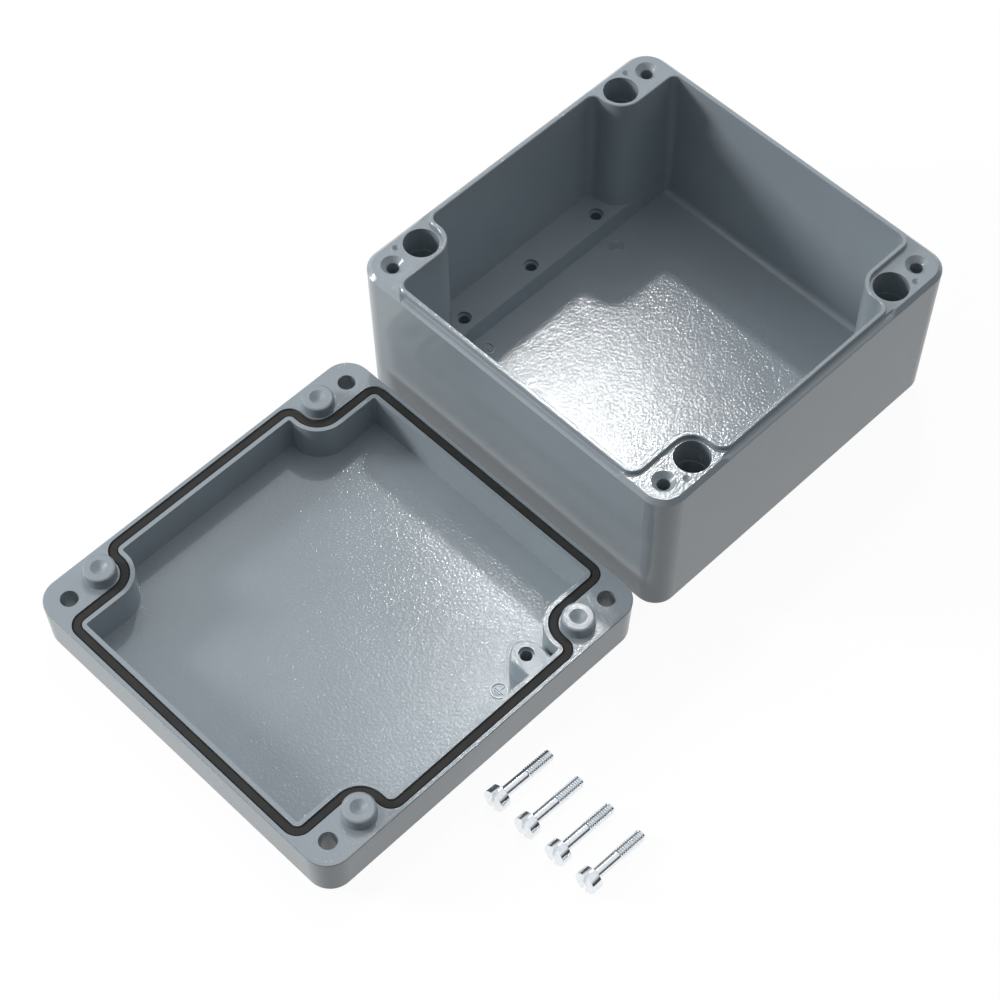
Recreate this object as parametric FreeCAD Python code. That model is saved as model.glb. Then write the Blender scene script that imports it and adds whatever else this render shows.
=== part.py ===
import FreeCAD, Part
import math
import os

# A die-cast aluminium box, taken apart. The deep base stands open, its lid lies upside down in front of it
# with the gasket in its groove, and the four lid screws lie in a row beside the lid.
# Millimetres, +Z up. The origin is the centre of the base's underside, which stands on the floor.
#
# Base and lid share one seal line. A tongue on the base and a groove in the lid both follow it. At each
# corner the line leaves the walls and swings round the mounting hole, so that all screws stay outside the
# sealed space, and the wall of the cavity follows it down as a column.

# Case, seen from above
case_length = 160.0
case_width = 160.0
case_corner_radius = 10.3
base_height = 70.0
lid_height = 20.0

# Hole centres, measured from the outside of the case
screw_margin_x = 10.0
screw_margin_y = 10.0
mounting_margin_x = 10.0
mounting_margin_y = 25.0

# Seal line
seal_margin = 3.6
nose_radius = 9.1
bend_radius = 4.5

# Tongue, groove and gasket on that line
tongue_thickness = 1.75
tongue_height = 2.0
tongue_edge_chamfer = 0.3
groove_width = 3.85
groove_depth = 4.2
groove_inner_wall = 1.75
gasket_thickness = 3.85
gasket_side_clearance = 0.05
gasket_edge_chamfer = 0.6

# Base
base_draft = math.radians(1.2)
base_foot_chamfer = 1.0
base_rim_chamfer = 1.85
cavity_draft = math.radians(0.8)
base_floor = 3.5
floor_radius = 3.0
ledge_height = 13.0
ledge_width = 20.9
rim_step = 1.0
rim_drop = 1.9
rim_bulge = 0.12
rim_cove_radius = 0.8
rim_end_length = 3.0
rim_end_rise = 1.3
pad_length_x = 21.2
pad_length_y = 31.3

# Holes in the base
screw_countersink_diameter = 9.2
tapped_hole_spare_depth = 5.0
well_diameter = 14.1
well_depth = 12.5
lower_well_diameter = 13.7
mounting_web = 6.0
mounting_hole_diameter = 6.8
dimple_diameter = 3.0
dimple_depth = 1.2
dimple_offset_x = 5.0
dimple_offset_y = 8.4
ledge_hole_margin = 15.0
ledge_hole_from_well = 17.0
small_hole_diameter = 4.7
small_hole_depth = 9.5
small_counterbore_diameter = 6.2
small_counterbore_depth = 1.6
drill_point_slope = math.radians(31)

# Lid
lid_draft = math.radians(2.7)
lid_face_chamfer = 0.5
lid_rim_chamfer = 0.3
lid_floor = 3.3
head_recess_depth = 8.0
head_recess_clearance = 0.3
lid_hole_diameter = 7.05

# Pips on the lid that drop into the mounting holes of the base
pip_height = 5.0
pip_clearance = 0.45
pip_taper = 0.3
pip_edge_radius = 0.8
pip_dimple_diameter = 6.5
pip_dimple_depth = 1.9

# Earth boss inside the lid
boss_margin = 16.7
boss_from_well = 20.1
boss_radius = 6.0
boss_height = 10.7
boss_draft = math.radians(2.0)
boss_edge_chamfer = 0.5

# Lid screws
screw_length = 25.0
screw_head_diameter = 9.4
screw_head_height = 4.4
screw_head_edge_chamfer = 0.4
screw_thread_diameter = 4.85
screw_thread_length = 12.8
screw_shank_diameter = 4.4
screw_tip_chamfer = 0.6
screw_slot_width = 1.3
screw_slot_depth = 1.9
thread_clearance = 0.15
screw_count = 4

# Places of the loose pieces on the floor
lid_gap = 6.5
lid_shift = -0.7
screw_row_gap = 14.3
screw_pitch = 15.15
screw_row_offset = -13.3
screw_slot_turns = (35.0, 20.0, 50.0, 35.0)

# Worked out from the values above
seal_half_length = case_length / 2 - seal_margin
seal_half_width = case_width / 2 - seal_margin
mounting_x = case_length / 2 - mounting_margin_x
mounting_y = case_width / 2 - mounting_margin_y
screw_x = case_length / 2 - screw_margin_x
screw_y = case_width / 2 - screw_margin_y
dimple_x = mounting_x + dimple_offset_x
dimple_y = mounting_y + dimple_offset_y
boss_x = case_length / 2 - boss_margin
boss_y = mounting_y - boss_from_well
tongue_top = base_height + tongue_height
groove_floor = lid_height - groove_depth
screw_reach = screw_length - (lid_height - head_recess_depth)
lid_centre_y = -(case_width + lid_gap)
lid_place = FreeCAD.Vector(lid_shift, lid_centre_y, 0)
up = FreeCAD.Vector(0, 0, 1)
same_height = 0.001
corners = ((1, 1), (-1, 1), (-1, -1), (1, -1))


# Outlines

def arc_points(centre_x, centre_y, radius, first_angle, last_angle):
    """Start, middle and end of an arc in the plane."""
    points = []
    for angle in (first_angle, (first_angle + last_angle) / 2, last_angle):
        turn = math.radians(angle)
        points.append((centre_x + radius * math.cos(turn), centre_y + radius * math.sin(turn)))
    return points


def in_all_corners(corner_arcs):
    """Arcs of the corner at +X +Y, then their mirror images in the other three, in running order."""
    arcs = []
    for side_x, side_y in corners:
        mirrored = [[(side_x * x, side_y * y) for x, y in arc] for arc in corner_arcs]
        if side_x * side_y < 0:
            mirrored = [arc[::-1] for arc in reversed(mirrored)]
        arcs += mirrored
    return arcs


def joined_arcs(arcs, height):
    """A closed wire: the arcs in order, with a straight line from the end of each to the next."""
    edges = []
    last_x, last_y = arcs[-1][-1]
    for arc in arcs:
        start, middle, end = [FreeCAD.Vector(x, y, height) for x, y in arc]
        edges.append(Part.LineSegment(FreeCAD.Vector(last_x, last_y, height), start).toShape())
        edges.append(Part.Arc(start, middle, end).toShape())
        last_x, last_y = arc[-1]
    return Part.Wire(edges)


def case_outline(inset, height):
    """The outside of the case, with straight sides and round corners that stay on one centre."""
    centre_x = case_length / 2 - case_corner_radius
    centre_y = case_width / 2 - case_corner_radius
    corner = [arc_points(centre_x, centre_y, case_corner_radius - inset, 0, 90)]
    return joined_arcs(in_all_corners(corner), height)


def seal_outline(inset, height):
    """The seal line moved towards the cavity: wall, bend, nose round the mounting hole, bend, wall."""
    nose = nose_radius + inset
    bend = bend_radius - inset
    wall_x = seal_half_length - inset
    wall_y = seal_half_width - inset
    corner = [
        arc_points(wall_x - bend, mounting_y - nose - bend, bend, 0, 90),
        arc_points(mounting_x, mounting_y, nose, 270, 180),
        arc_points(mounting_x - nose - bend, wall_y - bend, bend, 0, 90),
    ]
    return joined_arcs(in_all_corners(corner), height)


def pocket_outline(inset, height):
    """The bottom of the base cavity, between the two ledges."""
    edge_x = case_length / 2 - ledge_width
    centre_x = edge_x - bend_radius + cavity_inset(ledge_height)
    centre_y = seal_half_width - bend_radius
    corner = [arc_points(centre_x, centre_y, bend_radius - inset, 0, 90)]
    return joined_arcs(in_all_corners(corner), height)


# Solids

def tapered(outline, low, high):
    """A drafted solid between two copies of an outline, each given as (inset, height)."""
    return Part.makeLoft([outline(*low), outline(*high)], True, True)


def ring(outline, inset, width, low, high):
    """A straight-sided band of one width along an outline."""
    outside = tapered(outline, (inset - width / 2, low), (inset - width / 2, high))
    inside = tapered(outline, (inset + width / 2, low), (inset + width / 2, high))
    return outside.cut(inside)


def turned(profile):
    """A solid of revolution about Z, from (radius, height) points that start and end on the axis."""
    points = [FreeCAD.Vector(radius, 0, height) for radius, height in profile]
    face = Part.Face(Part.makePolygon(points + points[:1]))
    return face.revolve(FreeCAD.Vector(0, 0, 0), up, 360)


def edges_at(solid, height):
    """The edges of a solid that lie flat at one height."""
    found = []
    for edge in solid.Edges:
        box = edge.BoundBox
        if abs(box.ZMin - height) < same_height and abs(box.ZMax - height) < same_height:
            found.append(edge)
    return found


def drilled(diameter, depth, top):
    """The space that a drill leaves below a face, with its pointed end."""
    radius = diameter / 2
    point = radius * math.tan(drill_point_slope)
    return turned([(0, top), (radius, top), (radius, top - depth), (0, top - depth - point)])


def counterbored(top):
    """A small hole for an earth or rail screw, with a shallow counterbore."""
    mouth_floor = FreeCAD.Vector(0, 0, top - small_counterbore_depth)
    mouth = Part.makeCylinder(small_counterbore_diameter / 2, small_counterbore_depth, mouth_floor)
    return mouth.fuse(drilled(small_hole_diameter, small_hole_depth, top))


def at(solid, x, y):
    """A copy of a solid, moved sideways."""
    return solid.translated(FreeCAD.Vector(x, y, 0))


# Base

def cavity_inset(height):
    """How far the drafted cavity wall stands inside the seal line."""
    return tongue_thickness / 2 + (tongue_top - height) * math.tan(cavity_draft)


def cove():
    """The rounded filling where a wall along X meets the floor of the base."""
    wall = seal_half_width - cavity_inset(base_floor + floor_radius)
    foot = wall + floor_radius
    points = arc_points(wall - floor_radius, base_floor + floor_radius, floor_radius, 0, -90)
    points += [(foot, base_floor), (foot, base_floor + floor_radius)]
    start, middle, end, low, high = [FreeCAD.Vector(-case_length / 2, y, z) for y, z in points]
    rest = Part.makePolygon([end, low, high, start])
    face = Part.Face(Part.Wire([Part.Arc(start, middle, end).toShape()] + rest.Edges))
    return face.extrude(FreeCAD.Vector(case_length, 0, 0))


def base_body():
    """The drafted case with its tongue, hollowed down to the ledges and, between them, to the floor."""
    case = tapered(case_outline, (base_height * math.tan(base_draft), 0), (0, base_height))
    case = case.makeChamfer(base_foot_chamfer, edges_at(case, 0))
    case = case.makeChamfer(base_rim_chamfer, edges_at(case, base_height))
    tongue = tapered(seal_outline, (-tongue_thickness / 2, base_height), (-tongue_thickness / 2, tongue_top))
    at_ledge = (cavity_inset(ledge_height), ledge_height)
    cavity = tapered(seal_outline, at_ledge, (cavity_inset(tongue_top), tongue_top))
    pocket = tapered(pocket_outline, (cavity_inset(base_floor), base_floor), at_ledge)
    for turn in (0, 180):
        filling = cove()
        filling.rotate(FreeCAD.Vector(0, 0, 0), up, turn)
        pocket = pocket.cut(filling)
    body = case.fuse(tongue).cut(cavity).cut(pocket)
    return body.makeChamfer(tongue_edge_chamfer, edges_at(body, tongue_top))


def rim_slope(outer, run):
    """What is missing above the rim of one wall: a cove at the tongue, a round slope, and rising ends."""
    inner = outer - seal_margin + tongue_thickness / 2
    high = base_height - rim_step
    low = base_height - rim_drop
    clear_x = outer + rim_drop
    clear_z = base_height + rim_drop
    cove = arc_points(inner + rim_cove_radius, high + rim_cove_radius, rim_cove_radius, 180, 270)
    start, bend, foot = [FreeCAD.Vector(x, 0, z) for x, z in cove]
    middle = FreeCAD.Vector((foot.x + outer) / 2 + rim_bulge, 0, (high + low) / 2 + rim_bulge)
    edge = FreeCAD.Vector(outer, 0, low)
    rounded = [Part.Arc(start, bend, foot).toShape(), Part.Arc(foot, middle, edge).toShape()]
    beyond = FreeCAD.Vector(clear_x, 0, low)
    above = FreeCAD.Vector(clear_x, 0, clear_z)
    inside = FreeCAD.Vector(inner, 0, clear_z)
    rest = Part.makePolygon([edge, beyond, above, inside, start])
    face = Part.Face(Part.Wire(rounded + rest.Edges))
    level_run = run - 2 * rim_end_length
    face.translate(FreeCAD.Vector(0, -level_run / 2, 0))
    first_end = face.extrude(FreeCAD.Vector(0, -rim_end_length, rim_end_rise))
    level = face.extrude(FreeCAD.Vector(0, level_run, 0))
    face.translate(FreeCAD.Vector(0, level_run, 0))
    last_end = face.extrude(FreeCAD.Vector(0, rim_end_length, rim_end_rise))
    return level.fuse([first_end, last_end])


def base_cuts():
    """Every hole in the base, and the rims between its corner pads."""
    tapped_diameter = screw_thread_diameter + thread_clearance
    tapped = drilled(tapped_diameter, screw_reach + tapped_hole_spare_depth, base_height)
    sink_depth = (screw_countersink_diameter - tapped_diameter) / 2
    sink_foot = FreeCAD.Vector(0, 0, base_height - sink_depth)
    sink = Part.makeCone(tapped_diameter / 2, screw_countersink_diameter / 2, sink_depth, sink_foot)
    well_floor = base_height - well_depth
    well = turned([(0, 0), (mounting_hole_diameter / 2, 0), (mounting_hole_diameter / 2, mounting_web),
                   (lower_well_diameter / 2, mounting_web), (lower_well_diameter / 2, well_floor),
                   (well_diameter / 2, well_floor), (well_diameter / 2, base_height), (0, base_height)])
    dimple_foot = FreeCAD.Vector(0, 0, base_height - dimple_depth)
    dimple = Part.makeCone(0, dimple_diameter / 2, dimple_depth, dimple_foot)
    cuts = []
    for side_x, side_y in corners:
        cuts.append(at(tapped.fuse(sink), side_x * screw_x, side_y * screw_y))
        cuts.append(at(well, side_x * mounting_x, side_y * mounting_y))
        cuts.append(at(dimple, side_x * dimple_x, side_y * dimple_y))
    small_hole = counterbored(ledge_height)
    ledge_hole_x = case_length / 2 - ledge_hole_margin
    ledge_hole_pitch = mounting_y - ledge_hole_from_well
    for side_x in (1, -1):
        for step in (-1, 0, 1):
            cuts.append(at(small_hole, side_x * ledge_hole_x, step * ledge_hole_pitch))
    run_x = case_length - 2 * pad_length_x
    run_y = case_width - 2 * pad_length_y
    for turn, outer, run in ((0, case_length / 2, run_y), (90, case_width / 2, run_x)):
        for half_turn in (0, 180):
            slope = rim_slope(outer, run)
            slope.rotate(FreeCAD.Vector(0, 0, 0), up, turn + half_turn)
            cuts.append(slope)
    return cuts


# Lid, built in the pose in which it lies: outer face down, at the origin

def pip():
    """A drafted pip with a broken edge and a centre dimple, standing on the pad plane."""
    foot_radius = well_diameter / 2 - pip_clearance
    top_radius = foot_radius - pip_taper
    pip_top = lid_height + pip_height
    edge = arc_points(top_radius - pip_edge_radius, pip_top - pip_edge_radius, pip_edge_radius, 0, 90)
    dimple = [(pip_dimple_diameter / 2, pip_top), (0, pip_top - pip_dimple_depth)]
    return turned([(0, lid_height), (foot_radius, lid_height)] + edge + dimple)


def earth_boss():
    """A drafted boss with a round nose, run into the wall beside it."""
    def outline(spread, height):
        radius = boss_radius + spread
        nose = arc_points(boss_x, boss_y, radius, 270, 90)
        wall_end = seal_half_length
        box = [(wall_end, boss_y + radius), (wall_end, boss_y - radius)]
        start, middle, end, far, near = [FreeCAD.Vector(x, y, height) for x, y in nose + box]
        return Part.Wire([Part.Arc(start, middle, end).toShape(), Part.LineSegment(end, far).toShape(),
                          Part.LineSegment(far, near).toShape(), Part.LineSegment(near, start).toShape()])
    top = lid_floor + boss_height
    boss = tapered(outline, (boss_height * math.tan(boss_draft), lid_floor), (0, top))
    return boss.makeChamfer(boss_edge_chamfer, edges_at(boss, top))


def lid_body():
    """The drafted lid with its cavity, groove, pips, boss and holes."""
    case = tapered(case_outline, (lid_height * math.tan(lid_draft), 0), (0, lid_height))
    case = case.makeChamfer(lid_face_chamfer, edges_at(case, 0))
    case = case.makeChamfer(lid_rim_chamfer, edges_at(case, lid_height))
    cavity_edge = groove_width / 2 + groove_inner_wall
    cavity_foot = cavity_edge + (lid_height - lid_floor) * math.tan(cavity_draft)
    cavity = tapered(seal_outline, (cavity_foot, lid_floor), (cavity_edge, lid_height))
    groove = ring(seal_outline, 0, groove_width, groove_floor, lid_height)
    body = case.cut(cavity.cut(earth_boss())).cut(groove)
    clearance = Part.makeCylinder(lid_hole_diameter / 2, lid_height)
    recess = Part.makeCylinder(screw_head_diameter / 2 + head_recess_clearance, head_recess_depth)
    for side_x, side_y in corners:
        body = body.fuse(at(pip(), side_x * mounting_x, side_y * mounting_y))
        body = body.cut(at(clearance.fuse(recess), side_x * screw_x, side_y * screw_y))
    return body.cut(at(counterbored(lid_floor + boss_height), boss_x, boss_y))


def gasket():
    """The gasket in the groove, a little below the pad plane, with its upper edges chamfered."""
    width = groove_width - 2 * gasket_side_clearance
    top = groove_floor + gasket_thickness
    band = ring(seal_outline, 0, width, groove_floor, top)
    return band.makeChamfer(gasket_edge_chamfer, edges_at(band, top))


# Screws

def upright_screw():
    """A slotted screw with a reduced shank, head down, the end of its head at the origin."""
    head_radius = screw_head_diameter / 2
    thread_radius = screw_thread_diameter / 2
    shank_radius = screw_shank_diameter / 2
    whole = screw_head_height + screw_length
    thread_start = whole - screw_thread_length
    tip_radius = thread_radius - screw_tip_chamfer
    solid = turned([(0, 0), (head_radius - screw_head_edge_chamfer, 0),
                    (head_radius, screw_head_edge_chamfer), (head_radius, screw_head_height),
                    (shank_radius, screw_head_height), (shank_radius, thread_start),
                    (thread_radius, thread_start), (thread_radius, whole - screw_tip_chamfer),
                    (tip_radius, whole), (0, whole)])
    slot = Part.makeBox(screw_head_diameter, screw_slot_width, screw_slot_depth,
                        FreeCAD.Vector(-head_radius, -screw_slot_width / 2, 0))
    return solid.cut(slot)


def lying_screw(number):
    """A screw tipped over until the edge of its head and the end of its thread both touch the floor."""
    head_radius = screw_head_diameter / 2
    thread_radius = screw_thread_diameter / 2
    run = screw_length - screw_tip_chamfer
    dip = math.atan((head_radius - thread_radius) / run)
    screw = upright_screw()
    screw.rotate(FreeCAD.Vector(0, 0, 0), up, screw_slot_turns[number])
    screw.rotate(FreeCAD.Vector(0, 0, 0), FreeCAD.Vector(1, 0, 0), -90 - math.degrees(dip))
    lift = screw_head_height * math.sin(dip) + head_radius * math.cos(dip)
    row_x = lid_shift + case_length / 2 + screw_row_gap + number * screw_pitch
    return screw.translated(FreeCAD.Vector(row_x, lid_centre_y + screw_row_offset, lift))


# Pieces

pieces = {}
base = base_body()
for cut in base_cuts():
    base = base.cut(cut)
pieces["base"] = base
pieces["lid"] = lid_body().translated(lid_place)
pieces["gasket"] = gasket().translated(lid_place)
for number in range(screw_count):
    pieces[f"lid_screw_{number + 1}"] = lying_screw(number)

os.makedirs("parts", exist_ok=True)
for name, shape in pieces.items():
    box = shape.BoundBox
    print(name, "valid" if shape.isValid() else "BROKEN", len(shape.Solids), "solid",
          f"{shape.Volume / 1000:.1f} cm3", f"{box.XLength:.2f} x {box.YLength:.2f} x {box.ZLength:.2f}",
          f"z {box.ZMin:.3f} to {box.ZMax:.3f}")
    shape.exportStep(f"parts/{name}.step")
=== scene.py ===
# %% [markdown]
# A die-cast aluminium box, taken apart on a white table: the deep base stands open, its lid lies upside
# down in front of it, and four screws lie beside the lid. The solids come packed from the construction
# model as a fixed frame, and this script dresses them: it gives them their finishes, puts screws with real
# threads in place of the plain ones, raises the cast earth signs, and sets up light and camera.

# %% Load the frame
import math
import bmesh
import bpy
from mathutils import Matrix, Quaternion, Vector


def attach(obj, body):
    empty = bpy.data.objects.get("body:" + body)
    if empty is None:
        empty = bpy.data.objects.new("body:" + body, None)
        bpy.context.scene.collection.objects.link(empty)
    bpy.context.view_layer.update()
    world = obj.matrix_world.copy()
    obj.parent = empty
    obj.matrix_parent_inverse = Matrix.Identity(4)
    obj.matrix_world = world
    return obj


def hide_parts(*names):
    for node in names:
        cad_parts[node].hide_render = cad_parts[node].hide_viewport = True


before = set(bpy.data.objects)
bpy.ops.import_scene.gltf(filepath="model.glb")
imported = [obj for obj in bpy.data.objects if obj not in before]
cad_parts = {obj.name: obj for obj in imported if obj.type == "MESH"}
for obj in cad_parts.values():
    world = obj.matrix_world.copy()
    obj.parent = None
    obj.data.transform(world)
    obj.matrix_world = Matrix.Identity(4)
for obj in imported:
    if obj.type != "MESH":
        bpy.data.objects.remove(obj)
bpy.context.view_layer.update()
mm = 0.001
print("nodes:", sorted(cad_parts))

# %% [markdown]
# The camera stands high in front of a corner and looks down at a steep angle, which shows the inside of
# both halves at once. Its place could be tried by eye. Here it was fitted to the centres of the holes and
# the outlines of base and lid in the photograph, because with a long lens an error in distance is hard to
# see. The tiny roll comes from the same fit.

# %% Camera
camera_place = Vector((404.514, -485.724, 847.079)) * mm
camera_aim = Vector((1.06, -83.777, 0.0)) * mm
camera_roll = math.radians(-0.1034)
camera_lens = 94.967

camera_data = bpy.data.cameras.new("camera")
camera_data.lens = camera_lens
camera_data.sensor_width = 36.0
camera_data.clip_start = 0.01
camera = bpy.data.objects.new("camera", camera_data)
bpy.context.scene.collection.objects.link(camera)
camera.location = camera_place
looking = (camera_aim - camera_place).to_track_quat("-Z", "Y")
camera.rotation_mode = "QUATERNION"
camera.rotation_quaternion = looking @ Quaternion((0, 0, 1), camera_roll)
bpy.context.scene.camera = camera
print("camera distance, m:", round((camera_aim - camera_place).length, 3))

# %% [markdown]
# A material is a small network, and most of its nodes are made the same way: make a node, plug some sockets,
# set others. A few helpers keep that short. Every pattern reads Object coordinates, which here are real
# metres in the frame of the whole object, so a grain of one millimetre is one millimetre on every piece.

# %% Material helpers
def node_material(name):
    """A new material with an empty tree, and that tree."""
    material = bpy.data.materials.new(name)
    material.use_nodes = True
    material.node_tree.nodes.clear()
    return material, material.node_tree


def add(tree, kind, settings=None, **inputs):
    """A node of one kind. Settings go on the node; inputs are sockets to link or values to set."""
    node = tree.nodes.new("ShaderNode" + kind)
    for key, value in (settings or {}).items():
        setattr(node, key, value)
    for key, value in inputs.items():
        socket = node.inputs[key.replace("_", " ")]
        if isinstance(value, bpy.types.NodeSocket):
            tree.links.new(value, socket)
        else:
            socket.default_value = value
    return node


def ramp(tree, factor, low, high, low_value, high_value):
    """Scale a factor from one range to another, held at both ends."""
    node = add(tree, "MapRange", Value=factor)
    node.inputs["From Min"].default_value = low
    node.inputs["From Max"].default_value = high
    node.inputs["To Min"].default_value = low_value
    node.inputs["To Max"].default_value = high_value
    return node.outputs["Result"]


def noise(tree, place, scale, detail, roughness):
    """A random pattern whose grains measure about one metre divided by the scale."""
    return add(tree, "TexNoise", Vector=place, Scale=scale, Detail=detail, Roughness=roughness).outputs["Fac"]


def blend(tree, factor, first, second):
    """A colour between two others."""
    node = add(tree, "Mix", {"data_type": "RGBA"}, Factor=factor)
    node.inputs[6].default_value = first
    node.inputs[7].default_value = second
    return node.outputs[2]


def relief(tree, pattern, depth, share=1.0, under=None):
    """The normal of a skin that a pattern raises by up to a depth, on top of another skin if there is one."""
    node = add(tree, "Bump", Strength=share, Distance=depth, Height=pattern)
    if under is not None:
        tree.links.new(under, node.inputs["Normal"])
    return node.outputs["Normal"]


def choose(tree, factor, first, second):
    """A shader that is the first where the factor is 0 and the second where it is 1."""
    node = add(tree, "MixShader", Fac=factor)
    tree.links.new(first.outputs[0], node.inputs[1])
    tree.links.new(second.outputs[0], node.inputs[2])
    return node


def show(tree, shader, kind="OutputMaterial"):
    """End a tree in its output."""
    output = add(tree, kind)
    tree.links.new(shader.outputs[0], output.inputs["Surface"])


print("helpers ready")

# %% [markdown]
# The castings wear a thin silver-grey coat with a gloss on top. Up close it isn't flat: it has the fine
# pebbled skin that photographs as a crackle of small mirrors where a lamp is reflected. One flat roughness
# would blur that into a patch. Instead the coat is quite glossy, and the pebbles are a height pattern of
# about one millimetre that tilts it by a few degrees, with a finer dust on it. A slow third pattern lets
# the tone drift a little, as a sprayed batch does.

# %% Casting coat
coat_grey = (0.375, 0.428, 0.462, 1.0)
coat_grey_dark = (0.345, 0.395, 0.428, 1.0)
pebble_scale = 1000.0
pebble_depth = 0.06 * mm
dust_scale = 2300.0
dust_depth = 0.008 * mm
drift_scale = 18.0
coat_metal = 0.12
coat_share = 0.6
coat_blur = 0.085
coat_bend = 1.5


def casting_material(name, seed):
    """Silver-grey coat over a fine cast skin. The seed shifts the pattern."""
    material, tree = node_material(name)
    coords = add(tree, "TexCoord").outputs["Object"]
    place = add(tree, "Mapping", Vector=coords, Location=(seed, 2 * seed, 3 * seed)).outputs["Vector"]
    pebbles = noise(tree, place, pebble_scale, 2.5, 0.5)
    dust = noise(tree, place, dust_scale, 2.0, 0.6)
    drift = noise(tree, place, drift_scale, 3.0, 0.6)
    tone = ramp(tree, drift, 0.35, 0.65, 0.0, 1.0)
    colour = blend(tree, tone, coat_grey_dark, coat_grey)
    skin = relief(tree, pebbles, pebble_depth)
    fine = relief(tree, dust, dust_depth, under=skin)
    gloss = ramp(tree, dust, 0.3, 0.7, 0.50, 0.62)
    shader = add(tree, "BsdfPrincipled", Base_Color=colour, Roughness=gloss, Normal=fine, Coat_Normal=skin)
    shader.inputs["Metallic"].default_value = coat_metal
    shader.inputs["IOR"].default_value = coat_bend
    shader.inputs["Coat Weight"].default_value = coat_share
    shader.inputs["Coat Roughness"].default_value = coat_blur
    shader.inputs["Coat IOR"].default_value = coat_bend
    show(tree, shader)
    return material


def dress(node, material):
    """Give a CAD node's object a finish in every one of its slots."""
    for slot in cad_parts[node].material_slots:
        slot.material = material


dress("base", casting_material("base_casting", 0.0))
dress("lid", casting_material("lid_casting", 0.37))
print("castings dressed")

# %% [markdown]
# The gasket is a soft band of black rubber that lies in the groove. Rubber looks right when it is dark but
# not black, dull but not dead, and a little uneven where it was cut and handled. Its bloom is a faint paler
# cloud, and its skin has a short random grain.

# %% Gasket rubber
rubber_dark = (0.021, 0.020, 0.019, 1.0)
rubber_bloom = (0.046, 0.044, 0.041, 1.0)
bloom_scale = 140.0
grain_scale = 2400.0
grain_depth = 0.03 * mm
rubber_bend = 1.45

rubber, tree = node_material("gasket_rubber")
coords = add(tree, "TexCoord").outputs["Object"]
cloud = noise(tree, coords, bloom_scale, 4.0, 0.65)
grain = noise(tree, coords, grain_scale, 2.0, 0.5)
bloom = blend(tree, ramp(tree, cloud, 0.35, 0.7, 0.0, 1.0), rubber_dark, rubber_bloom)
grained = relief(tree, grain, grain_depth, share=0.8)
dullness = ramp(tree, cloud, 0.3, 0.7, 0.62, 0.8)
shader = add(tree, "BsdfPrincipled", Base_Color=bloom, Roughness=dullness, Normal=grained)
shader.inputs["IOR"].default_value = rubber_bend
show(tree, shader)
dress("gasket", rubber)
print("gasket dressed")

# %% [markdown]
# The screws are plated, so almost all that they show is what they mirror. Their finish is a plain bright
# metal with a fine cloud in its gloss, and faint rings from turning round the axis. The rings come from a
# wave pattern whose bands follow one another along the screws.

# %% Screw plating
plating_bright = (0.90, 0.92, 0.94, 1.0)
plating_dull = (0.76, 0.79, 0.82, 1.0)
cloud_scale = 900.0
cloud_depth = 0.01 * mm
ring_scale = 900.0
ring_depth = 0.006 * mm

plating, tree = node_material("screw_plating")
coords = add(tree, "TexCoord").outputs["Object"]
cloud = noise(tree, coords, cloud_scale, 3.0, 0.6)
rings = add(tree, "TexWave", {"bands_direction": "Y"}, Vector=coords, Scale=ring_scale,
            Distortion=0.6, Detail=1.0).outputs["Fac"]
tint = blend(tree, ramp(tree, cloud, 0.35, 0.7, 0.0, 1.0), plating_bright, plating_dull)
turned = relief(tree, rings, ring_depth, share=0.5)
uneven = relief(tree, cloud, cloud_depth, share=0.6, under=turned)
gloss = ramp(tree, cloud, 0.3, 0.7, 0.05, 0.12)
shader = add(tree, "BsdfPrincipled", Base_Color=tint, Roughness=gloss, Normal=uneven)
shader.inputs["Metallic"].default_value = 1.0
show(tree, shader)
print("plating made")

# %% [markdown]
# A real screw thread is one V-shaped groove that winds round the rod. The spin operator makes it: a short
# profile is turned round the axis, and at each small step it also climbs by a fraction of the pitch. After
# one turn it has climbed one pitch, so each turn starts where the last one ended, and welding the seam makes
# one skin. A cut at both ends gives it flat faces.

# %% Screw parts
screw_length = 25.0 * mm
head_radius = 4.7 * mm
head_height = 4.4 * mm
head_edge = 0.4 * mm
shank_radius = 2.2 * mm
thread_radius = 2.425 * mm
thread_root_radius = 1.86 * mm
thread_length = 12.8 * mm
thread_pitch = 1.0 * mm
flank_share = 0.42
crest_share = 0.12
spare_turns = 2
run_in = 1.5 * thread_pitch
tip_chamfer = 0.6 * mm
slot_width = 1.4 * mm
slot_depth = 2.3 * mm
round_steps = 64
weld = 0.002 * mm
axis = Vector((0, 0, 1))
middle = Vector((0, 0, 0))
whole = head_height + screw_length
thread_start = whole - thread_length


def chain(mesh, profile):
    """Points (radius, height) in the XZ plane, joined by edges."""
    points = [mesh.verts.new((radius, 0, height)) for radius, height in profile]
    return points + [mesh.edges.new(pair) for pair in zip(points, points[1:])]


def full_turn(mesh, profile):
    """The skin that a profile sweeps in one turn about Z."""
    bmesh.ops.spin(mesh, geom=chain(mesh, profile), cent=middle, axis=axis, angle=math.tau,
                   steps=round_steps, use_merge=True)


def cut_flat(mesh, height, side):
    """Cut a mesh at a height and close it. Side 1 drops what is above, -1 what is below."""
    everything = mesh.verts[:] + mesh.edges[:] + mesh.faces[:]
    cut = bmesh.ops.bisect_plane(mesh, geom=everything, plane_co=(0, 0, height), plane_no=(0, 0, 1),
                                 clear_outer=side > 0, clear_inner=side < 0)["geom_cut"]
    rim = [edge for edge in cut if isinstance(edge, bmesh.types.BMEdge)]
    bmesh.ops.holes_fill(mesh, edges=rim, sides=0)


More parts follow.
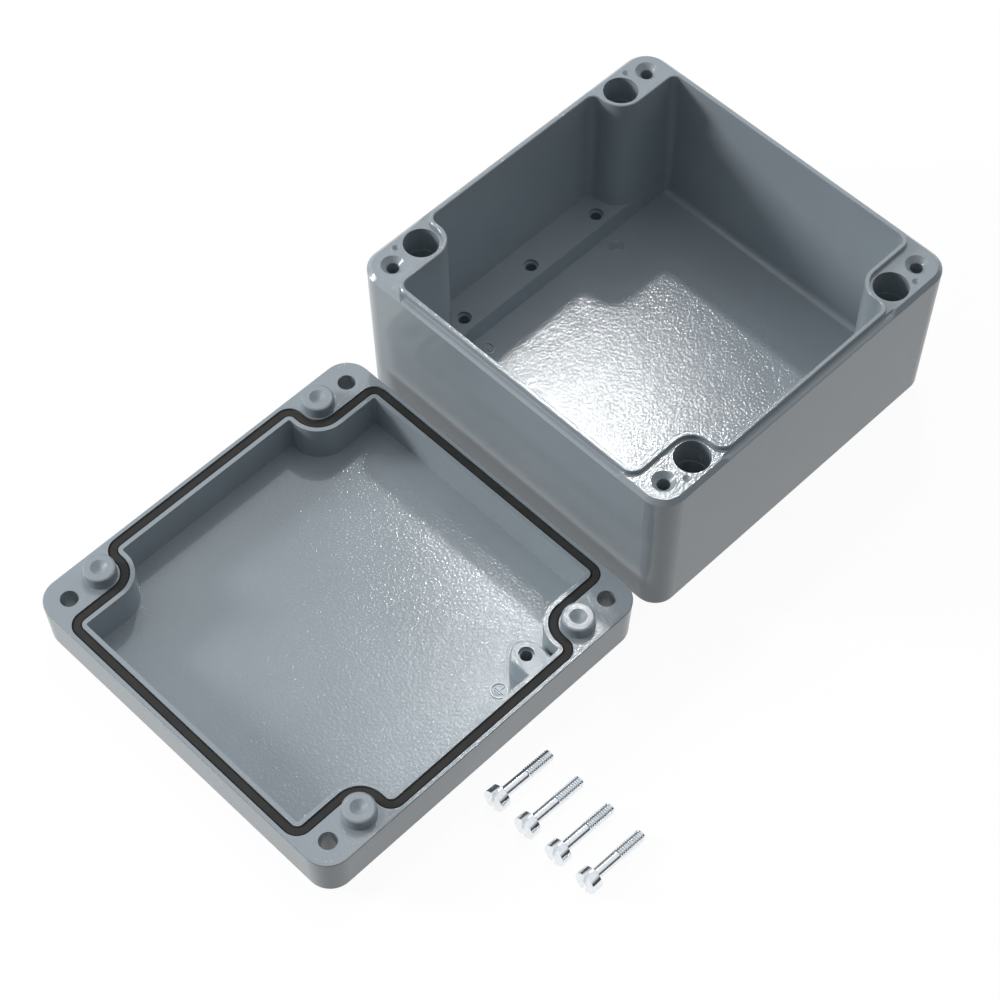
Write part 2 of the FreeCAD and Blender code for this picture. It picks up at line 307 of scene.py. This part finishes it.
def finished(mesh, name):
    """An object from a mesh, with merged doubles and outward normals."""
    bmesh.ops.remove_doubles(mesh, verts=mesh.verts, dist=weld)
    bmesh.ops.recalc_face_normals(mesh, faces=mesh.faces)
    data = bpy.data.meshes.new(name)
    mesh.to_mesh(data)
    mesh.free()
    piece = bpy.data.objects.new(name, data)
    bpy.context.scene.collection.objects.link(piece)
    return piece


def thread_mesh():
    """The threaded end of a screw, with a chamfered tip."""
    mesh = bmesh.new()
    turns = math.ceil(thread_length / thread_pitch) + spare_turns
    steps = turns * round_steps
    flank = flank_share * thread_pitch
    crest_end = flank + crest_share * thread_pitch
    profile = [(thread_root_radius, 0.0), (thread_radius, flank), (thread_radius, crest_end),
               (thread_root_radius, crest_end + flank), (thread_root_radius, thread_pitch)]
    climb = Vector((0, 0, thread_pitch / round_steps))
    geom = chain(mesh, profile)
    bmesh.ops.spin(mesh, geom=geom, cent=middle, axis=axis, dvec=climb, angle=turns * math.tau, steps=steps)
    bmesh.ops.remove_doubles(mesh, verts=mesh.verts, dist=weld)
    bmesh.ops.translate(mesh, verts=mesh.verts, vec=(0, 0, thread_start - run_in))
    cut_flat(mesh, thread_start, -1)
    cut_flat(mesh, whole, 1)
    for vert in mesh.verts:
        reach = math.hypot(vert.co.x, vert.co.y)
        limit = thread_radius - max(0.0, vert.co.z - (whole - tip_chamfer))
        if reach > limit:
            vert.co.x *= limit / reach
            vert.co.y *= limit / reach
    return mesh


thread = thread_mesh()
print("thread faces:", len(thread.faces))

# %% [markdown]
# The head and the shank are plain turned forms, so each is one profile spun once round. The slot is cut
# with a box: a boolean modifier does it, and its result is read back as a mesh, so the box can be thrown
# away. The softened edges matter more than their size suggests, because they are what catches the light.
# Each screw lies on its head and its tip, so it dips a little. The slot stands upright, as in the
# photograph. It is 0.1 mm wider and 0.4 mm deeper than the slot of the solid and is turned from it, because
# the solids were final by the time the slot was compared with the photograph.

# %% Slotted screws
def slotted_head():
    """Head and shank, with the slot cut in."""
    mesh = bmesh.new()
    soft = 0.3 * head_edge
    full_turn(mesh, [(0, 0), (head_radius - head_edge, 0), (head_radius - soft, soft),
                     (head_radius, head_edge), (head_radius, head_height - soft),
                     (head_radius - soft, head_height), (shank_radius, head_height),
                     (shank_radius, thread_start + weld), (0, thread_start + weld)])
    body = finished(mesh, "head_blank")
    blade = bmesh.new()
    bmesh.ops.create_cube(blade, size=1.0)
    bmesh.ops.scale(blade, verts=blade.verts, vec=(3 * head_radius, slot_width, 2 * slot_depth))
    cutter = finished(blade, "slot_blade")
    modifier = body.modifiers.new("slot", "BOOLEAN")
    modifier.operation = "DIFFERENCE"
    modifier.object = cutter
    modifier.solver = "EXACT"
    bpy.context.view_layer.update()
    result = bpy.data.meshes.new_from_object(body.evaluated_get(bpy.context.evaluated_depsgraph_get()))
    for extra in (body, cutter):
        bpy.data.objects.remove(extra)
    return result


slotted = slotted_head()
half_case = 80.0 * mm
lid_shift = -0.7 * mm
lid_centre_y = -166.5 * mm
screw_row_gap = 14.3 * mm
screw_row_offset = 13.3 * mm
screw_pitch = 15.15 * mm
slot_turns = (90.0, 88.0, 91.0, 90.0)
sharp_angle = math.radians(28)
screw_row_x = lid_shift + half_case + screw_row_gap
screw_row_y = lid_centre_y - screw_row_offset
dip = math.atan((head_radius - thread_radius) / (screw_length - tip_chamfer))
lift = head_height * math.sin(dip) + head_radius * math.cos(dip)

for number, slot_turn in enumerate(slot_turns):
    screw = bmesh.new()
    screw.from_mesh(slotted)
    threaded = bpy.data.meshes.new("threaded")
    thread.to_mesh(threaded)
    screw.from_mesh(threaded)
    bpy.data.meshes.remove(threaded)
    place = Vector((screw_row_x + number * screw_pitch, screw_row_y, lift))
    lay = Matrix.Rotation(-math.pi / 2 - dip, 4, "X") @ Matrix.Rotation(math.radians(slot_turn), 4, "Z")
    bmesh.ops.transform(screw, matrix=Matrix.Translation(place) @ lay, verts=screw.verts)
    piece = finished(screw, f"threaded_screw_{number + 1}")
    piece.data.materials.clear()
    piece.data.materials.append(plating)
    piece.data.shade_smooth()
    piece.data.set_sharp_from_angle(angle=sharp_angle)
    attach(piece, "root")
    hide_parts(f"lid_screw_{number + 1}")
    print(piece.name, len(piece.data.polygons), "faces")
thread.free()
bpy.data.meshes.remove(slotted)

# %% [markdown]
# Beside the places for an earth wire the castings carry the usual earth sign, raised a fraction of a
# millimetre: a ring, a stem and three bars of falling length. It is part of the mould, so it has the same
# coat as the casting round it. The ring is spun, and the bars are boxes with softened upper edges.

# %% Earth signs
sign_height = 0.4 * mm
sign_line = 0.42 * mm
sign_root = 0.1 * mm
sign_soft = 0.1 * mm
stem_share = 0.84
bar_shares = (1.25, 0.85, 0.45)
bar_step = 0.26
base_sign_radius = 2.8 * mm
base_sign_x = -52.5 * mm
base_sign_y = 37.5 * mm
lid_sign_radius = 3.2 * mm
lid_sign_x = 63.0 * mm
lid_sign_y = 21.1 * mm


def sign_bar(mesh, centre, length_x, length_y):
    """One raised stroke, its top edges softened."""
    made = bmesh.ops.create_cube(mesh, size=1.0)["verts"]
    bmesh.ops.scale(mesh, verts=made, vec=(length_x, length_y, sign_height + sign_root))
    lift_up = Vector((centre[0], centre[1], (sign_height - sign_root) / 2))
    bmesh.ops.translate(mesh, verts=made, vec=lift_up)
    top = [edge for edge in mesh.edges if all(v in made and v.co.z > sign_height / 2 for v in edge.verts)]
    bmesh.ops.bevel(mesh, geom=top, offset=sign_soft, segments=2, profile=0.5, affect="EDGES", material=-1)


def earth_sign(name, radius, place, turn, material):
    """A ring with stem and bars, the stem pointing along +Y before it is turned."""
    mesh = bmesh.new()
    half = sign_line / 2
    shoulder = sign_height - sign_soft
    full_turn(mesh, [(radius - half, -sign_root), (radius - half, shoulder),
                     (radius - half + sign_soft, sign_height), (radius + half - sign_soft, sign_height),
                     (radius + half, shoulder), (radius + half, -sign_root)])
    stem = stem_share * radius
    sign_bar(mesh, (0, stem / 2), sign_line, stem)
    for step, share in enumerate(bar_shares):
        sign_bar(mesh, (0, -bar_step * radius * step), share * radius, sign_line)
    bmesh.ops.rotate(mesh, verts=mesh.verts, cent=middle, matrix=Matrix.Rotation(turn, 3, "Z"))
    bmesh.ops.translate(mesh, verts=mesh.verts, vec=place)
    piece = finished(mesh, name)
    piece.data.materials.append(material)
    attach(piece, "root")
    return piece


base_coat = bpy.data.materials["base_casting"]
lid_coat = bpy.data.materials["lid_casting"]
base_floor = 3.5 * mm
lid_floor = 3.3 * mm
for number, side in enumerate((1, -1)):
    name = f"base_earth_sign_{number + 1}"
    place = Vector((base_sign_x, side * base_sign_y, base_floor))
    earth_sign(name, base_sign_radius, place, -math.pi / 2, base_coat)
place = Vector((lid_shift + lid_sign_x, lid_centre_y + lid_sign_y, lid_floor))
earth_sign("lid_earth_sign", lid_sign_radius, place, 0.0, lid_coat)
print("earth signs raised")

# %% [markdown]
# The table is a plain sheet. A ray from the camera or from a mirror sees it nearly pure white, as in a
# cut-out product picture, with only a soft shadow left. The rays that light the metal meet a dark dull
# surface. The world is white to the eye too, but as a light it has a direction: it shines from left, right
# and behind, and is dark on the camera's side, which is why the nearest upright edges go dark. What the
# metal mirrors is a third thing again, a sky that is bright overhead and dark low down, and that gives the
# plated screws their black and white.

# %% Stage
floor_size = 6.0
table_shade = 0.11
table_white = 0.94
shadow_share = 0.09

floor_mesh = bmesh.new()
bmesh.ops.create_grid(floor_mesh, x_segments=1, y_segments=1, size=floor_size / 2)
floor = finished(floor_mesh, "floor")
table, tree = node_material("table")
seen = add(tree, "LightPath").outputs
pale = add(tree, "Emission", Strength=table_white)
lit = add(tree, "BsdfDiffuse", Color=(shadow_share, shadow_share, shadow_share, 1.0))
paper = add(tree, "AddShader")
tree.links.new(pale.outputs[0], paper.inputs[0])
tree.links.new(lit.outputs[0], paper.inputs[1])
plain = add(tree, "BsdfDiffuse", Color=(table_shade, table_shade, table_shade, 1.0))
mirrored = add(tree, "Math", {"operation": "MAXIMUM"})
tree.links.new(seen["Is Camera Ray"], mirrored.inputs[0])
tree.links.new(seen["Is Glossy Ray"], mirrored.inputs[1])
show(tree, choose(tree, mirrored.outputs[0], plain, paper))
floor.data.materials.append(table)

to_camera_side = (0.707, -0.707, 0.0)
dark_side_light = 0.0
bright_side_light = 0.64
side_fade = (-0.1, 0.75)
low_mirror_light = 0.06
high_mirror_light = 0.95
sky_fade = (0.35, 0.75)
sky_tint = (0.94, 0.97, 1.0, 1.0)
world = bpy.data.worlds.new("world")
bpy.context.scene.world = world
world.use_nodes = True
tree = world.node_tree
tree.nodes.clear()
seen = add(tree, "LightPath").outputs
shown = add(tree, "Background", Color=(1, 1, 1, 1), Strength=1.0)
direction = add(tree, "TexCoord").outputs["Generated"]
facing = add(tree, "VectorMath", {"operation": "DOT_PRODUCT"})
tree.links.new(direction, facing.inputs[0])
facing.inputs[1].default_value = to_camera_side
level = ramp(tree, facing.outputs["Value"], *side_fade, bright_side_light, dark_side_light)
height = add(tree, "SeparateXYZ", Vector=direction).outputs["Z"]
strength = add(tree, "Mix", {"data_type": "FLOAT"}, Factor=seen["Is Glossy Ray"])
tree.links.new(level, strength.inputs[2])
sky = ramp(tree, height, *sky_fade, low_mirror_light, high_mirror_light)
tree.links.new(sky, strength.inputs[3])
given = add(tree, "Background", Color=sky_tint, Strength=strength.outputs[0])
show(tree, choose(tree, seen["Is Camera Ray"], given, shown), "OutputWorld")
bpy.context.scene.view_settings.view_transform = "Standard"
print("stage set")

# %% [markdown]
# Three lamps make the picture. A small far softbox hangs where the floor of the base mirrors it into the
# lens. Its place follows from the law of reflection: from the mirrored spot the lamp lies as steep as the
# camera, on the other side of the upright. The spot was fitted to the brightness of both floors. A fainter
# lamp does the same for the near corner of the lid, seen only in the gloss. The key light shines low from
# the left and gives the long soft shadows inside the walls.

# %% Lamps
def lamp(name, place, aim, size, shape, power):
    """An area lamp that shines from one point towards another."""
    data = bpy.data.lights.new(name, "AREA")
    data.shape = shape
    data.size = size
    data.energy = power
    made = bpy.data.objects.new(name, data)
    bpy.context.scene.collection.objects.link(made)
    made.location = place
    made.rotation_euler = (aim - place).to_track_quat("-Z", "Y").to_euler()
    return made


far_off = 5.0
softbox_size = 0.25
softbox_power = 32.0
glint_power = 8.0
key_distance = 1.8
key_size = 0.4
key_power = 16.5
mirrored_spot = Vector((11.8, -51.5, 3.5)) * mm
to_softbox = Vector((-0.383, 0.4235, 0.8227))
softbox_place = mirrored_spot + far_off * to_softbox
softbox = lamp("softbox", softbox_place, mirrored_spot, softbox_size, "DISK", softbox_power)
second_spot = Vector((74.0, -150.0, 3.3)) * mm
to_glint = Vector((-0.341, 0.347, 0.873))
glint_place = second_spot + far_off * to_glint
glint = lamp("glint", glint_place, second_spot, softbox_size, "DISK", glint_power)
glint.visible_diffuse = False
to_key = Vector((-0.9, -0.8, 0.45)).normalized()
key_place = mirrored_spot + key_distance * to_key
key = lamp("key", key_place, mirrored_spot, key_size, "SQUARE", key_power)
print("lamps:", [round(v, 3) for v in softbox.location], [round(v, 3) for v in key.location])
